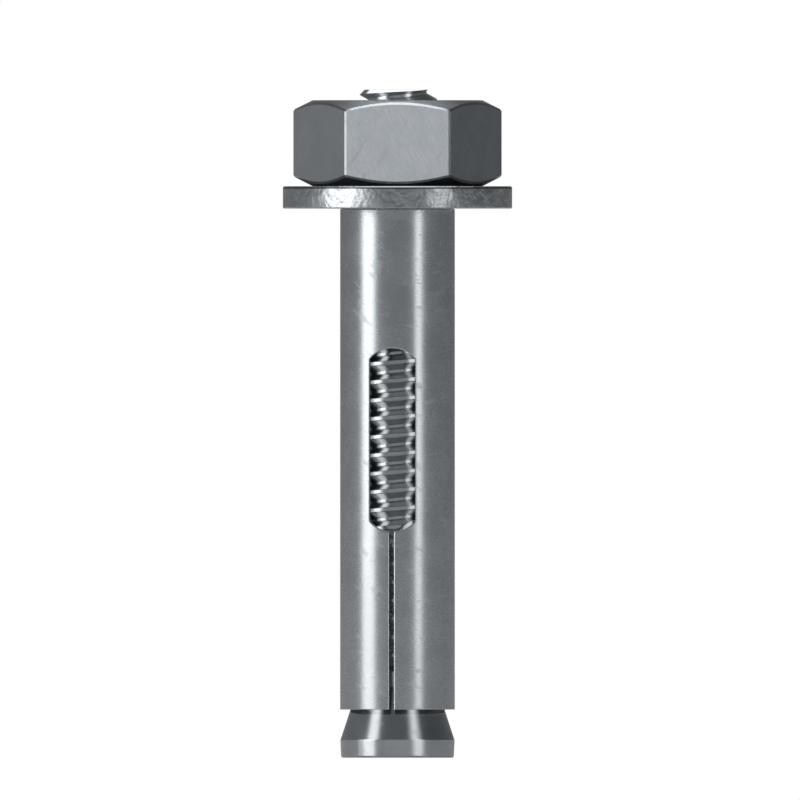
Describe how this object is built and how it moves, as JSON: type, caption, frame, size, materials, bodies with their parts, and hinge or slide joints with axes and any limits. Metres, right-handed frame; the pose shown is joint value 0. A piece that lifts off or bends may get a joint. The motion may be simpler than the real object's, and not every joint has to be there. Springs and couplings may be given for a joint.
{
  "type": "sleeve anchor",
  "caption": "Sleeve anchor: threaded stud with an expander cone, slotted rolled sleeve, flat washer and hexagon nut.",
  "frame": {"origin": "centre of the stud's flat foot, at the cone end, on which the anchor stands", "axes": "+Z along the stud from the cone to the nut, -Y the front, where the pictured window opens"},
  "size_m": [0.024, 0.024, 0.0699],
  "materials": {
    "stud_steel": "bright zinc plating over turned and rolled steel",
    "sleeve_steel": "zinc plated sheet, satin with a fine pebbled grain",
    "washer_steel": "zinc plated, mottled edge",
    "nut_steel": "zinc plated, flats with a fine diagonal grain"
  },
  "bodies": {
    "stud": {"stud": "stud_steel"},
    "sleeve": {"sleeve": "sleeve_steel", "washer": "washer_steel"},
    "nut": {"hex_nut": "nut_steel"}
  },
  "joints": [
    {"name": "sleeve_slide", "type": "slide", "parent": "stud", "child": "sleeve", "axis": [0, 0, -1], "range_m": [-0.00857, 0.003], "deforming": ["sleeve"]},
    {"name": "nut_turn", "type": "hinge", "parent": "sleeve", "child": "nut", "pos_m": [0, 0, 0.06428], "axis": [0, 0, -1], "range_deg": [-1620, 567]}
  ],
  "couplings": [
    {"joint": "nut_turn", "follows": "sleeve_slide", "rad_per_m": 3298.3}
  ]
}
